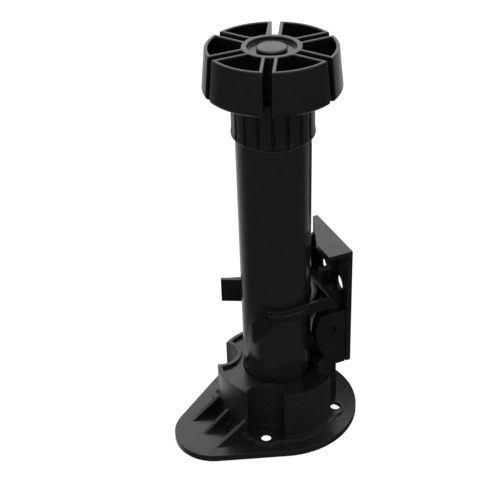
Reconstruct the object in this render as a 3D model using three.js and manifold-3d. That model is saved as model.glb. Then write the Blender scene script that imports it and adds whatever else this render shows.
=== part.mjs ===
// A height-adjustable plinth leg for cabinets, standing on its mounting plate: the mounting face is
// the plane z = 0, the leg's axis is +Z, and the foot that meets the ground is uppermost. +X runs
// from the leg's axis towards the plinth board. Millimetres and degrees.
import * as THREE from 'three';
import { mergeVertices } from 'three/addons/utils/BufferGeometryUtils.js';
import Module from 'manifold-3d';

const wasm = await Module();
wasm.setup();

// ---- Driving dimensions ----

// Whole leg
const CLOSED_HEIGHT = 150;        // mounting face to ground face with the foot screwed home
const FOOT_TRAVEL = 30;           // the foot screws out to 180
const GAP = 0.3;                  // clearance between pieces that touch
const PAST = 1;                   // how far a cutter runs past the face that it cuts
const SINK = 0.5;                 // how deep an added boss is sunk into what carries it
const ROUND_STEPS = 48;           // facets round a large circle
const BORE_STEPS = 36;            // facets round a bore
const FINE_STEPS = 20;            // facets round a small circle
const DISC_STEPS = 60;            // facets round the foot disc

// Mounting plate: a teardrop flange, a socket drum and four screw holes
const FLANGE_THICK = 2.7;
const FLANGE_R = 29.5;
const FLANGE_X = 1.0;
const TONGUE_R = 15.5;
const TONGUE_X = -28.4;
const SCREW_GRID = 32;
const SCREW_HOLE_R = 1.9;
const SCREW_LAND = 1;             // what the core under a pad leaves for the screw's head
const STEP_R = 24.4;
const STEP_RISE = 1.0;
const PAD_GRID = 28.6;            // the pads' centres lie a little inside the screws'
const PAD_R = 6;
const PAD_CORE_R = 5;
const DRUM_R = 22.75;
const DRUM_HEIGHT = 23.1;
const DRUM_WALL = 1.6;
const WEB_DROP = 1.3;
const WEB_THICK = 2.0;
const SOCKET_WALL = 1.8;
const NOTCH_WALL = 2.9;           // from a screw's notch to the socket's bore
const RIB_COUNT = 3;
const RIB_SPACING = 9;
const RIB_THICK = 1.4;
const RIB_REACH = 11;
const RIB_RISE = 6.8;

// Leg tube, drafted so that it is widest at the foot end
const TUBE_FOOT_R = 13.05;
const TUBE_DRAFT = 0.55;          // how much smaller the radius is at the plate
const TUBE_WALL = 1.65;
const TUBE_LEAD_IN = 0.5;
const SNAP_BEAD = 0.5;
const SNAP_HEIGHT = 9;

// Threaded bush, keyed in the tube's foot end
const BUSH_LENGTH = 14;
const BUSH_SEAT_WALL = 1.25;      // what the tube keeps outside the bush
const BUSH_WALL = 1.8;            // what the bush keeps outside the thread
const KEY_COUNT = 4;
const KEY_WIDTH = 2;
const KEY_DEPTH = 0.6;

// Screw thread, right-handed
const THREAD_PITCH = 5;
const THREAD_DEPTH = 1.1;
const THREAD_CREST = 1.5;
const THREAD_FLANK = 0.65;
const THREAD_STEPS = 18;
const THREAD_PLAY = 0.2;          // end play to each side of a thread

// Spindle
const SPINDLE_WALL = 1.9;
const SPINDLE_END_THICK = 6;
const SPINDLE_RUN_OUT = 2;        // thread left in the bush beyond its length at full travel
const NECK_CHAMFER = 0.8;
const THRUST_REACH = 2.6;         // the thrust flange beyond the thread
const THRUST_THICK = 2;
const SPLINE_COUNT = 6;
const SPLINE_WIDTH = 2.4;
const SPLINE_DEPTH = 1;

// Grip collar
const COLLAR_WALL = 1.8;          // outside the spindle's thrust flange
const COLLAR_HEIGHT = 16.1;
const COLLAR_BEAD = 0.25;
const COLLAR_BEAD_HEIGHT = 3;
const COLLAR_CHAMFER = 0.8;
const FLUTE_COUNT = 18;
const FLUTE_WIDTH = 1.1;
const FLUTE_DEPTH = 0.7;
const FLUTE_TURN = 16.4;
const FLUTE_STEPS = 8;

// Foot disc
const DISC_THICK = 15;
const DISC_MAX_R = 23.3;
const DISC_FLARE = 1.35;          // how much smaller the radius is at the ground face
const DISC_ROUND = 1.6;
const DISC_WALL = 1.25;
const DISC_FLOOR = 1.8;
const SEGMENT_COUNT = 6;
const SLOT_WIDTH = 2.8;
const SLOT_TURN = -7.5;
const HUB_WALL = 1.45;            // outside the spindle's neck
const HUB_WEB = 3.8;              // between the neck's end and the pin's recess
const RECESS_RIM = 1.9;
const RECESS_DEPTH = 1.4;

// Pivot pin
const PIN_HEAD_R = 5.15;
const PIN_HEAD_THICK = 1;
const PIN_CHAMFER = 0.4;
const PIN_R = 3.2;
const PIN_BARB = 0.7;
const PIN_BARB_LENGTH = 2.6;
const PIN_BARB_EDGE = 0.5;

// Plinth clip, turned a little about the leg as it is left
const CLIP_TURN = -9.5;
const CLIP_HEIGHT = 53.25;        // mounting face to the middle of the band
const BAND_HEIGHT = 4.7;
const BAND_WALL = 2.3;
const BAND_PLAY = 0.2;
const BAND_ANGLE = 125.7;         // from +X to each end of the band
const RIDGE_RISE = 0.6;
const RIDGE_HEIGHT = 1.5;
const EAR_REACH = [-6.5, 3.3];
const EAR_THICK = 1.6;
const EAR_DROP = 5;
const EAR_ROOT = 1;               // how far an ear runs back into the band
const CHEEK_Y = 14.25;
const CHEEK_THICK = 3.95;
const CHEEK_TOP = -4.75;          // heights below are from the middle of the band
const CHEEK_BOTTOM = -28.15;
const CHEEK_EDGE = [              // curve points of the edge towards the leg, from the block's face
  [-9.95, CHEEK_TOP], [-12.45, -9.2], [-12.05, -13.2], [-11.25, -19.2], [-7.55, -24.95],
  [-5.85, CHEEK_BOTTOM], [-3.05, CHEEK_BOTTOM],
];
const DIMPLE_R = 1.6;
const DIMPLE_DEPTH = 1.5;
const DIMPLE_X = -5.25;           // from the block's face
const DIMPLE_Z = -12.2;
const BLOCK_BACK = 1.5;
const POCKET_WALL = 1.4;          // round the pockets behind the band

// Plinth bracket: a plate with a tongue that slides in the clip's block
const BRACKET_X = 23.85;          // leg's axis to the face against the plinth board
const BRACKET_THICK = 2;
const BRACKET_TOP = 20.05;
const BRACKET_BOTTOM = -28.05;
const BRACKET_FLANGE_THICK = 1.6;
const FLANGE_CLEARANCE = 1.55;    // from the tube to the top flange
const GUSSET_Y = -4.7;
const GUSSET_THICK = 1.4;
const GUSSET_DROP = 12;
const SIDE_WALL = 1.6;
const SIDE_DEPTH = 4.6;
const SIDE_BOTTOM = -4.4;
const SIDE_TOP = 13.5;
const SIDE_SLOPE = 0.72;
const TONGUE_NECK = 2;            // half width
const TONGUE_HEAD = 5;            // half width
const TONGUE_HEAD_THICK = 1.6;
const TONGUE_NECK_DEPTH = 2.25;
const LUG_HEIGHT = 3;
const LUG_HALF_WIDTH = 2;
const BRACKET_HOLE_Y = 6.3;
const BRACKET_HOLE_Z = 2.5;
const BRACKET_HOLE_R = 2.6;
const BRACKET_SINK_R = 4.25;
const BRACKET_SINK_DEPTH = 1.4;

// ---- Worked out from them ----

// Radii, from the tube inwards and then out to the collar and the disc's hub
const TUBE_PLATE_R = TUBE_FOOT_R - TUBE_DRAFT;
const SOCKET_R = TUBE_PLATE_R + GAP;
const NOTCH_R = Math.SQRT1_2 * SCREW_GRID - SOCKET_R - NOTCH_WALL;
const BUSH_R = TUBE_FOOT_R - BUSH_SEAT_WALL - GAP;
const THREAD_R = BUSH_R - BUSH_WALL - GAP;
const ROOT_R = THREAD_R - THREAD_DEPTH;
const THRUST_R = THREAD_R + THRUST_REACH;
const COLLAR_R = THRUST_R + GAP + COLLAR_WALL;
const HUB_R = ROOT_R + GAP + HUB_WALL;
const RECESS_R = HUB_R - RECESS_RIM;

// Heights of the foot's pieces, from the ground face
const DISC_UNDER = -DISC_THICK;
const COLLAR_TOP = DISC_UNDER - GAP;
const COLLAR_BOTTOM = COLLAR_TOP - COLLAR_HEIGHT;
const NECK_TOP = -RECESS_DEPTH - HUB_WEB - GAP;
const THREAD_LENGTH = FOOT_TRAVEL + BUSH_LENGTH + SPINDLE_RUN_OUT;

// Heights from the mounting face
const TUBE_END = CLOSED_HEIGHT + COLLAR_BOTTOM - GAP;
const NOTCH_FLOOR = FLANGE_THICK + STEP_RISE;

// The clip's and the bracket's planes across X, from the plinth board towards the leg
const PLATE_X = BRACKET_X - BRACKET_THICK;
const BLOCK_X = PLATE_X - GAP;
const NECK_X = PLATE_X - TONGUE_NECK_DEPTH;
const HEAD_X = NECK_X - TONGUE_HEAD_THICK;
const BACK_X = HEAD_X - GAP - BLOCK_BACK;

// ---- Solids ----

function solid(geometry) {
  const bare = geometry.index ? geometry.toNonIndexed() : geometry.clone();
  bare.deleteAttribute('normal');
  bare.deleteAttribute('uv');
  const merged = mergeVertices(bare, 1e-4);
  const index = merged.index.array;
  const kept = [];
  for (let i = 0; i < index.length; i += 3) {
    const [a, b, c] = [index[i], index[i + 1], index[i + 2]];
    if (a !== b && b !== c && c !== a) kept.push(a, b, c);
  }
  return new wasm.Manifold(new wasm.Mesh({
    numProp: 3,
    vertProperties: new Float32Array(merged.attributes.position.array),
    triVerts: new Uint32Array(kept),
  }));
}

function geometryOf(body) {
  const mesh = body.getMesh();
  const geometry = new THREE.BufferGeometry();
  geometry.setAttribute('position', new THREE.BufferAttribute(mesh.vertProperties, 3));
  geometry.setIndex(new THREE.BufferAttribute(mesh.triVerts, 1));
  geometry.computeVertexNormals();
  return geometry;
}

function piece(name, body, color, roughness) {
  const material = new THREE.MeshStandardMaterial({ color, roughness, metalness: 0 });
  const mesh = new THREE.Mesh(geometryOf(body), material);
  mesh.name = name;
  return mesh;
}

// A solid of revolution about Z from [radius, height] points that run upwards on the outside.
function turned(points, steps = ROUND_STEPS) {
  const profile = points.map(([r, z]) => new THREE.Vector2(r, z));
  return solid(new THREE.LatheGeometry(profile, steps).rotateX(Math.PI / 2));
}

function cylinder(radius, zLow, zHigh, steps = ROUND_STEPS, x = 0, y = 0) {
  const geometry = new THREE.CylinderGeometry(radius, radius, zHigh - zLow, steps);
  geometry.rotateX(Math.PI / 2).translate(x, y, (zLow + zHigh) / 2);
  return solid(geometry);
}

function box(xLow, xHigh, yLow, yHigh, zLow, zHigh) {
  const geometry = new THREE.BoxGeometry(xHigh - xLow, yHigh - yLow, zHigh - zLow);
  geometry.translate((xLow + xHigh) / 2, (yLow + yHigh) / 2, (zLow + zHigh) / 2);
  return solid(geometry);
}

// An outline in plan, raised from zLow to zHigh.
function raised(shape, zLow, zHigh, curveSegments = 12) {
  const options = { depth: zHigh - zLow, bevelEnabled: false, curveSegments };
  return solid(new THREE.ExtrudeGeometry(shape, options).translate(0, 0, zLow));
}

// An outline in the XZ plane, given thickness from yLow to yHigh.
function upright(shape, yLow, yHigh, curveSegments = 12) {
  const options = { depth: yHigh - yLow, bevelEnabled: false, curveSegments };
  const geometry = new THREE.ExtrudeGeometry(shape, options);
  return solid(geometry.rotateX(Math.PI / 2).translate(0, yHigh, 0));
}

function polygon(points) {
  return new THREE.Shape(points.map(([x, y]) => new THREE.Vector2(x, y)));
}

// A round bar or hole along X.
function crossBar(radiusLow, radiusHigh, xLow, xHigh, y, z) {
  const geometry = new THREE.CylinderGeometry(radiusHigh, radiusLow, xHigh - xLow, FINE_STEPS);
  return solid(geometry.rotateZ(-Math.PI / 2).translate((xLow + xHigh) / 2, y, z));
}

function joined(bodies) {
  return bodies.reduce((all, body) => all.add(body));
}

// The same solid repeated at equal turns about the leg's axis.
function around(body, count, turn = 0) {
  return joined(Array.from({ length: count }, (_, i) => body.rotate([0, 0, turn + i * 360 / count])));
}

// A bar with a right-handed helical thread, cut square at both ends. A crest crosses the +X
// direction at the height datum, so two bars with one datum and one pitch are in mesh.
function threadedBar(crestR, rootR, crestWidth, zLow, zHigh, datum) {
  const flank = THREAD_FLANK;
  const section = [
    [-crestWidth / 2, crestR],
    [crestWidth / 2, crestR],
    [crestWidth / 2 + flank, rootR],
    [THREAD_PITCH - crestWidth / 2 - flank, rootR],
  ];
  const firstTurn = Math.floor((zLow - datum) / THREAD_PITCH) - 2;
  const turns = Math.ceil((zHigh - datum) / THREAD_PITCH) + 1 - firstTurn;
  const rows = section.length * turns;
  const positions = [];
  const vertexAt = (row, step) => {
    const turn = Math.floor(row / section.length);
    const [offset, r] = section[row % section.length];
    const angle = 2 * Math.PI * step / THREAD_STEPS;
    const z = datum + (firstTurn + turn + step / THREAD_STEPS) * THREAD_PITCH + offset;
    return [r * Math.cos(angle), r * Math.sin(angle), z];
  };
  const push = (...corners) => positions.push(...corners.flat());
  for (let row = 0; row < rows; row++) {
    for (let step = 0; step < THREAD_STEPS; step++) {
      const a = vertexAt(row, step);
      const b = vertexAt(row, step + 1);
      const c = vertexAt(row + 1, step + 1);
      const d = vertexAt(row + 1, step);
      push(a, b, c);
      push(a, c, d);
    }
  }
  const low = [0, 0, vertexAt(0, 0)[2]];
  const high = [0, 0, vertexAt(rows + section.length, 0)[2]];
  for (let step = 0; step < THREAD_STEPS; step++) {
    push(low, vertexAt(0, step + 1), vertexAt(0, step));
    push(high, vertexAt(rows, step), vertexAt(rows, step + 1));
  }
  for (let row = 0; row < section.length; row++) {
    push(low, vertexAt(row, 0), vertexAt(row + 1, 0));
    push(high, vertexAt(rows + row + 1, 0), vertexAt(rows + row, 0));
  }
  const geometry = new THREE.BufferGeometry();
  geometry.setAttribute('position', new THREE.Float32BufferAttribute(positions, 3));
  return solid(geometry).intersect(cylinder(crestR + THREAD_PITCH, zLow, zHigh, THREAD_STEPS));
}

// ---- Mounting plate ----

// The flange's outline: a large round end and a smaller one, joined by their common tangents.
function flangeOutline() {
  const half = Math.acos((FLANGE_R - TONGUE_R) / (FLANGE_X - TONGUE_X));
  const shape = new THREE.Shape();
  shape.absarc(FLANGE_X, 0, FLANGE_R, half - Math.PI, Math.PI - half, false);
  shape.absarc(TONGUE_X, 0, TONGUE_R, Math.PI - half, Math.PI + half, false);
  return shape;
}

// The corners of a square round the leg's axis.
function corners(grid) {
  const half = grid / 2;
  return [[half, half], [-half, half], [-half, -half], [half, -half]];
}

// A triangular rib from the tongue up to the drum.
function plateRib(y) {
  const foot = Math.sqrt(DRUM_R ** 2 - y ** 2);
  const shape = polygon([
    [-DRUM_R - RIB_REACH, FLANGE_THICK],
    [-DRUM_R - RIB_REACH, FLANGE_THICK / 2],
    [-foot + DRUM_WALL / 2, FLANGE_THICK / 2],
    [-foot + DRUM_WALL / 2, FLANGE_THICK + RIB_RISE],
    [-foot, FLANGE_THICK + RIB_RISE],
  ].reverse());
  return upright(shape, y - RIB_THICK / 2, y + RIB_THICK / 2);
}

function mountingPlate() {
  const webTop = DRUM_HEIGHT - WEB_DROP;
  const webBottom = webTop - WEB_THICK;
  const above = DRUM_HEIGHT + PAST;
  const uprights = (grid, radius, zLow, zHigh) => joined(corners(grid)
    .map(([x, y]) => cylinder(radius, zLow, zHigh, FINE_STEPS, x, y)));
  let body = raised(flangeOutline(), 0, FLANGE_THICK, 20);
  body = body.add(cylinder(STEP_R, 0, NOTCH_FLOOR));
  body = body.add(uprights(PAD_GRID, PAD_R, 0, NOTCH_FLOOR));
  body = body.add(cylinder(DRUM_R, 0, DRUM_HEIGHT));
  for (let i = 0; i < RIB_COUNT; i++) {
    body = body.add(plateRib((i - (RIB_COUNT - 1) / 2) * RIB_SPACING));
  }
  const drumInside = cylinder(DRUM_R - DRUM_WALL, -PAST, above)
    .subtract(uprights(SCREW_GRID, NOTCH_R + DRUM_WALL, -2 * PAST, above + PAST));
  const pan = drumInside.intersect(cylinder(DRUM_R, webTop, 2 * above));
  const hollow = drumInside.intersect(cylinder(DRUM_R, -2 * PAST, webBottom))
    .subtract(cylinder(SOCKET_R + SOCKET_WALL, -2 * PAST, above));
  body = body.subtract(pan).subtract(hollow);
  body = body.subtract(uprights(SCREW_GRID, NOTCH_R, NOTCH_FLOOR, above));
  body = body.subtract(uprights(SCREW_GRID, SCREW_HOLE_R, -PAST, above));
  body = body.subtract(uprights(PAD_GRID, PAD_CORE_R, -PAST, NOTCH_FLOOR - SCREW_LAND));
  const grooveLow = SNAP_HEIGHT - GAP;
  const grooveHigh = SNAP_HEIGHT + 2 * SNAP_BEAD + GAP;
  const bore = turned([
    [0, FLANGE_THICK], [SOCKET_R, FLANGE_THICK],
    [SOCKET_R, grooveLow], [SOCKET_R + SNAP_BEAD, grooveLow + SNAP_BEAD],
    [SOCKET_R + SNAP_BEAD, grooveHigh - SNAP_BEAD], [SOCKET_R, grooveHigh],
    [SOCKET_R, above], [0, above],
  ]);
  return piece('mounting_plate', body.subtract(bore), 0x141415, 0.35);
}

// ---- Leg tube and its bush ----

function tubeRadius(z) {
  const share = (z - DRUM_HEIGHT) / (TUBE_END - DRUM_HEIGHT);
  return TUBE_PLATE_R + (TUBE_FOOT_R - TUBE_PLATE_R) * share;
}

function keys(innerR, outerR, width, zLow, zHigh) {
  return around(box(innerR, outerR, -width / 2, width / 2, zLow, zHigh), KEY_COUNT);
}

function legTube() {
  const low = FLANGE_THICK + GAP;
  const bushSeat = TUBE_END - BUSH_LENGTH - GAP;
  const seatR = BUSH_R + GAP;
  const boreR = TUBE_PLATE_R - TUBE_WALL;
  let body = turned([
    [0, low], [TUBE_PLATE_R - TUBE_LEAD_IN, low], [TUBE_PLATE_R, low + TUBE_LEAD_IN],
    [TUBE_PLATE_R, SNAP_HEIGHT], [TUBE_PLATE_R + SNAP_BEAD, SNAP_HEIGHT + SNAP_BEAD],
    [TUBE_PLATE_R, SNAP_HEIGHT + 2 * SNAP_BEAD],
    [TUBE_PLATE_R, DRUM_HEIGHT], [TUBE_FOOT_R, TUBE_END], [0, TUBE_END],
  ]);
  body = body.subtract(cylinder(boreR, low - PAST, TUBE_END + PAST));
  const seat = cylinder(seatR, bushSeat, TUBE_END + PAST)
    .subtract(keys(seatR - KEY_DEPTH, seatR + PAST, KEY_WIDTH, bushSeat - PAST, TUBE_END + 2 * PAST));
  return piece('leg_tube', body.subtract(seat), 0x111112, 0.2);
}

function threadBush() {
  const low = TUBE_END - BUSH_LENGTH;
  const slotR = BUSH_R - KEY_DEPTH;
  let body = cylinder(BUSH_R, low, TUBE_END);
  body = body.subtract(keys(slotR, BUSH_R + PAST, KEY_WIDTH + 2 * GAP, low - PAST, TUBE_END + PAST));
  const cutter = threadedBar(
    THREAD_R + GAP, ROOT_R + GAP, THREAD_CREST + 2 * THREAD_PLAY, low - PAST, TUBE_END + PAST, TUBE_END,
  );
  return piece('thread_bush', body.subtract(cutter), 0x1b1b1c, 0.45);
}

// ---- The foot: spindle, grip collar, disc and pivot pin, measured from the ground face ----

function splines(radius, width, zLow, zHigh) {
  return around(box(0, radius, -width / 2, width / 2, zLow, zHigh), SPLINE_COUNT);
}

function spindle() {
  const threadBottom = COLLAR_BOTTOM - THREAD_LENGTH;
  const thrustBottom = COLLAR_TOP - THRUST_THICK;
  const boreR = ROOT_R - SPINDLE_WALL;
  let body = threadedBar(
    THREAD_R, ROOT_R, THREAD_CREST, threadBottom, COLLAR_BOTTOM, COLLAR_BOTTOM - GAP,
  );
  body = body.add(turned([
    [0, COLLAR_BOTTOM - SINK], [ROOT_R, COLLAR_BOTTOM - SINK], [ROOT_R, COLLAR_BOTTOM],
    [THREAD_R, COLLAR_BOTTOM], [THREAD_R, thrustBottom], [THRUST_R, thrustBottom],
    [THRUST_R, COLLAR_TOP], [ROOT_R, COLLAR_TOP], [ROOT_R, NECK_TOP - NECK_CHAMFER],
    [ROOT_R - NECK_CHAMFER, NECK_TOP], [0, NECK_TOP],
  ]));
  body = body.add(splines(THREAD_R + SPLINE_DEPTH, SPLINE_WIDTH, COLLAR_BOTTOM + SPLINE_DEPTH, COLLAR_TOP));
  body = body.subtract(cylinder(boreR, threadBottom - PAST, NECK_TOP - SPINDLE_END_THICK, BORE_STEPS));
  body = body.subtract(cylinder(PIN_R + GAP, threadBottom, NECK_TOP + PAST, FINE_STEPS));
  return piece('spindle', body, 0x161617, 0.4);
}

function gripCollar() {
  const beadR = COLLAR_R + COLLAR_BEAD;
  let body = turned([
    [0, COLLAR_BOTTOM], [beadR - COLLAR_CHAMFER, COLLAR_BOTTOM],
    [beadR, COLLAR_BOTTOM + COLLAR_CHAMFER], [beadR, COLLAR_BOTTOM + COLLAR_BEAD_HEIGHT / 2],
    [COLLAR_R, COLLAR_BOTTOM + COLLAR_BEAD_HEIGHT], [COLLAR_R, COLLAR_TOP], [0, COLLAR_TOP],
  ], 3 * FLUTE_COUNT);
  const low = COLLAR_BOTTOM - PAST;
  const high = COLLAR_TOP + PAST;
  const fluteX = COLLAR_R - FLUTE_DEPTH + FLUTE_WIDTH / 2;
  const flute = cylinder(FLUTE_WIDTH / 2, low, high, FLUTE_STEPS, fluteX)
    .add(box(fluteX, beadR + PAST, -FLUTE_WIDTH / 2, FLUTE_WIDTH / 2, low, high));
  body = body.subtract(around(flute, FLUTE_COUNT, FLUTE_TURN));
  body = body.subtract(cylinder(THREAD_R + GAP, low, high, BORE_STEPS));
  const splineLow = COLLAR_BOTTOM + SPLINE_DEPTH - GAP;
  body = body.subtract(splines(THREAD_R + SPLINE_DEPTH + GAP, SPLINE_WIDTH + 2 * GAP, splineLow, high));
  const recessFloor = COLLAR_TOP - THRUST_THICK - GAP;
  body = body.subtract(cylinder(THRUST_R + GAP, recessFloor, high));
  return piece('grip_collar', body, 0x141415, 0.4);
}

// The disc's side: its flare from the ground face down to the rounded lower edge.
function discProfile(inset, zLow, zHigh) {
  const roundCentre = [DISC_MAX_R - DISC_ROUND, DISC_UNDER + DISC_ROUND];
  const points = [];
  const arcSteps = 4;
  const groundR = DISC_MAX_R - DISC_FLARE;
  for (let i = 0; i <= arcSteps; i++) {
    const angle = (i / arcSteps - 1) * Math.PI / 2;
    const r = roundCentre[0] + (DISC_ROUND - inset) * Math.cos(angle);
    const z = roundCentre[1] + (DISC_ROUND - inset) * Math.sin(angle);
    points.push([r, Math.max(z, zLow)]);
  }
  points.push([groundR - inset, 0]);
  if (zHigh > 0) points.push([groundR - inset, zHigh]);
  return [[0, points[0][1]], ...points, [0, zHigh]];
}

function footDisc() {
  const floorTop = DISC_UNDER + DISC_FLOOR;
  const low = DISC_UNDER - PAST;
  const hub = cylinder(HUB_R, low - PAST, 2 * PAST);
  const bars = (halfWidth) => around(
    box(0, DISC_MAX_R + PAST, -halfWidth, halfWidth, low, PAST), SEGMENT_COUNT, SLOT_TURN,
  ).subtract(hub);
  const pockets = turned(discProfile(DISC_WALL, floorTop, PAST), DISC_STEPS)
    .subtract(hub)
    .subtract(bars(SLOT_WIDTH / 2 + DISC_WALL));
  let body = turned(discProfile(0, DISC_UNDER, 0), DISC_STEPS);
  body = body.subtract(pockets).subtract(bars(SLOT_WIDTH / 2));
  body = body.subtract(cylinder(RECESS_R, -RECESS_DEPTH, PAST));
  body = body.subtract(cylinder(ROOT_R + GAP, low, NECK_TOP + GAP, BORE_STEPS));
  body = body.subtract(cylinder(PIN_R + GAP, DISC_UNDER, PAST, FINE_STEPS));
  return piece('foot_disc', body, 0x131314, 0.3);
}

function pivotPin() {
  const headLow = -RECESS_DEPTH + GAP;
  const headHigh = headLow + PIN_HEAD_THICK;
  const barbTop = NECK_TOP - SPINDLE_END_THICK - GAP;
  const barbR = PIN_R + PIN_BARB;
  const tip = barbTop - PIN_BARB_LENGTH;
  const body = turned([
    [0, tip], [PIN_R - PIN_CHAMFER, tip], [barbR, barbTop - PIN_BARB_EDGE], [barbR, barbTop],
    [PIN_R, barbTop], [PIN_R, headLow], [PIN_HEAD_R, headLow], [PIN_HEAD_R, headHigh - PIN_CHAMFER],
    [PIN_HEAD_R - PIN_CHAMFER, headHigh], [0, headHigh],
  ], FINE_STEPS);
  return piece('pivot_pin', body, 0x18181a, 0.35);
}

// ---- Plinth clip and bracket, measured from the middle of the clip's band ----

// One end of the band, flared outwards as a thumb ear; side is 1 or -1.
function clipEar(side) {
  const angle = THREE.MathUtils.degToRad(BAND_ANGLE);
  const root = [bandOuterR() * Math.cos(angle), bandOuterR() * Math.sin(angle)];
  const tip = [root[0] + EAR_REACH[0], root[1] + EAR_REACH[1]];
  const length = Math.hypot(...EAR_REACH);
  const inward = [-EAR_REACH[1] * EAR_THICK / length, EAR_REACH[0] * EAR_THICK / length];
  const inset = EAR_REACH.map((part) => -part * EAR_ROOT / length);
  const outline = [
    [root[0] + inset[0], root[1] + inset[1]],
    tip,
    [tip[0] + inward[0], tip[1] + inward[1]],
    [root[0] + inset[0] + inward[0], root[1] + inset[1] + inward[1]],
  ].map(([x, y]) => [x, y * side]);
  if (side < 0) outline.reverse();
  return raised(polygon(outline), -BAND_HEIGHT / 2 - EAR_DROP, BAND_HEIGHT / 2);
}

function bandRing(outerR, zLow, zHigh) {
  const angle = THREE.MathUtils.degToRad(BAND_ANGLE);
  const shape = new THREE.Shape();
  shape.absarc(0, 0, outerR, -angle, angle, false);
  shape.absarc(0, 0, bandInnerR() - PAST, angle, -angle, true);
  return raised(shape, zLow, zHigh, 32);
}

// The band clears the drafted tube at its widest within the band's height.
function bandInnerR() {
  return tubeRadius(CLIP_HEIGHT + BAND_HEIGHT / 2) + BAND_PLAY;
}

function bandOuterR() {
  return bandInnerR() + BAND_WALL;
}

// The side cheek's outline, a lobe towards the leg with a slanted lower edge.
function cheekOutline() {
  const shape = new THREE.Shape();
  shape.moveTo(BLOCK_X, CHEEK_BOTTOM);
  shape.lineTo(BLOCK_X, CHEEK_TOP);
  const edge = CHEEK_EDGE.map(([x, z]) => [BLOCK_X + x, z]);
  shape.lineTo(...edge[0]);
  for (let i = 1; i < edge.length; i += 2) {
    shape.quadraticCurveTo(...edge[i], ...edge[i + 1]);
  }
  return shape;
}

// The bracket's tongue, or with play the slot that it slides in.
function tongue(play, zLow, zHigh) {
  const neck = TONGUE_NECK + play;
  const head = TONGUE_HEAD + play;
  return box(NECK_X - play, PLATE_X + SINK, -neck, neck, zLow, zHigh)
    .add(box(HEAD_X - play, NECK_X + play, -head, head, zLow, zHigh));
}

function plinthClip() {
  const bandLow = -BAND_HEIGHT / 2;
  const bandHigh = BAND_HEIGHT / 2;
  const cheekIn = CHEEK_Y - CHEEK_THICK;
  let body = bandRing(bandOuterR(), bandLow, bandHigh);
  body = body.add(bandRing(bandOuterR() + RIDGE_RISE, -RIDGE_HEIGHT / 2, RIDGE_HEIGHT / 2));
  body = body.add(box(0, BACK_X + SINK, -CHEEK_Y, CHEEK_Y, bandLow, bandHigh));
  body = body.add(box(BACK_X, BLOCK_X, -cheekIn - SINK, cheekIn + SINK, CHEEK_BOTTOM, bandHigh));
  body = body.add(upright(cheekOutline(), -CHEEK_Y, -cheekIn));
  body = body.add(upright(cheekOutline(), cheekIn, CHEEK_Y));
  body = body.add(clipEar(1)).add(clipEar(-1));
  body = body.subtract(box(
    0, BACK_X - POCKET_WALL, -CHEEK_Y + POCKET_WALL, CHEEK_Y - POCKET_WALL,
    bandLow + POCKET_WALL, bandHigh + PAST,
  ).subtract(cylinder(bandOuterR(), bandLow, bandHigh + 2 * PAST)));
  for (const side of [1, -1]) {
    const dimple = cylinder(DIMPLE_R, -DIMPLE_DEPTH, DIMPLE_DEPTH, FINE_STEPS)
      .rotate([90, 0, 0])
      .translate([BLOCK_X + DIMPLE_X, side * CHEEK_Y, DIMPLE_Z]);
    body = body.subtract(dimple);
  }
  body = body.subtract(cylinder(bandInnerR(), CHEEK_BOTTOM - PAST, bandHigh + PAST));
  body = body.subtract(tongue(GAP, CHEEK_BOTTOM - PAST, bandHigh + PAST));
  return piece('plinth_clip', body, 0x151516, 0.3);
}

function plinthBracket() {
  const flangeLow = BRACKET_TOP - BRACKET_FLANGE_THICK;
  const flangeX = tubeRadius(CLIP_HEIGHT + BRACKET_TOP) + FLANGE_CLEARANCE;
  const sunkX = PLATE_X + SINK;
  const lugLow = BAND_HEIGHT / 2 + GAP;
  const lugHigh = lugLow + LUG_HEIGHT;
  let body = box(PLATE_X, BRACKET_X, -CHEEK_Y, CHEEK_Y, BRACKET_BOTTOM, BRACKET_TOP);
  body = body.add(raised(polygon([
    [BRACKET_X, -CHEEK_Y], [BRACKET_X, CHEEK_Y], [PLATE_X, CHEEK_Y], [flangeX, GUSSET_Y],
    [flangeX, -CHEEK_Y],
  ]), flangeLow, BRACKET_TOP));
  body = body.add(upright(polygon([
    [sunkX, flangeLow + SINK], [flangeX, flangeLow + SINK], [flangeX, flangeLow],
    [PLATE_X, flangeLow - GUSSET_DROP], [sunkX, flangeLow - GUSSET_DROP],
  ]), GUSSET_Y, GUSSET_Y + GUSSET_THICK));
  body = body.add(upright(polygon([
    [sunkX, SIDE_BOTTOM], [sunkX, SIDE_TOP], [PLATE_X, SIDE_TOP],
    [PLATE_X - SIDE_DEPTH, SIDE_TOP - SIDE_SLOPE * SIDE_DEPTH], [PLATE_X - SIDE_DEPTH, SIDE_BOTTOM],
  ]), CHEEK_Y - SIDE_WALL, CHEEK_Y));
  body = body.add(tongue(0, BRACKET_BOTTOM, BAND_HEIGHT / 2));
  body = body.add(box(NECK_X, sunkX, -TONGUE_NECK, TONGUE_NECK, 0, lugHigh));
  body = body.add(box(HEAD_X, sunkX, -LUG_HALF_WIDTH, LUG_HALF_WIDTH, lugLow, lugHigh));
  const sinkX = PLATE_X + BRACKET_SINK_DEPTH;
  for (const y of [BRACKET_HOLE_Y, -BRACKET_HOLE_Y]) {
    body = body.subtract(crossBar(
      BRACKET_HOLE_R, BRACKET_HOLE_R, PLATE_X - PAST, BRACKET_X + PAST, y, BRACKET_HOLE_Z,
    ));
    body = body.subtract(crossBar(BRACKET_SINK_R, BRACKET_HOLE_R, PLATE_X, sinkX, y, BRACKET_HOLE_Z));
  }
  return piece('plinth_bracket', body, 0x161617, 0.35);
}

// ---- Assembly ----

const levelingFoot = new THREE.Group();
levelingFoot.add(mountingPlate(), legTube(), threadBush());

const foot = new THREE.Group();
foot.position.z = CLOSED_HEIGHT;
foot.add(spindle(), gripCollar(), footDisc(), pivotPin());
levelingFoot.add(foot);

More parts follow.
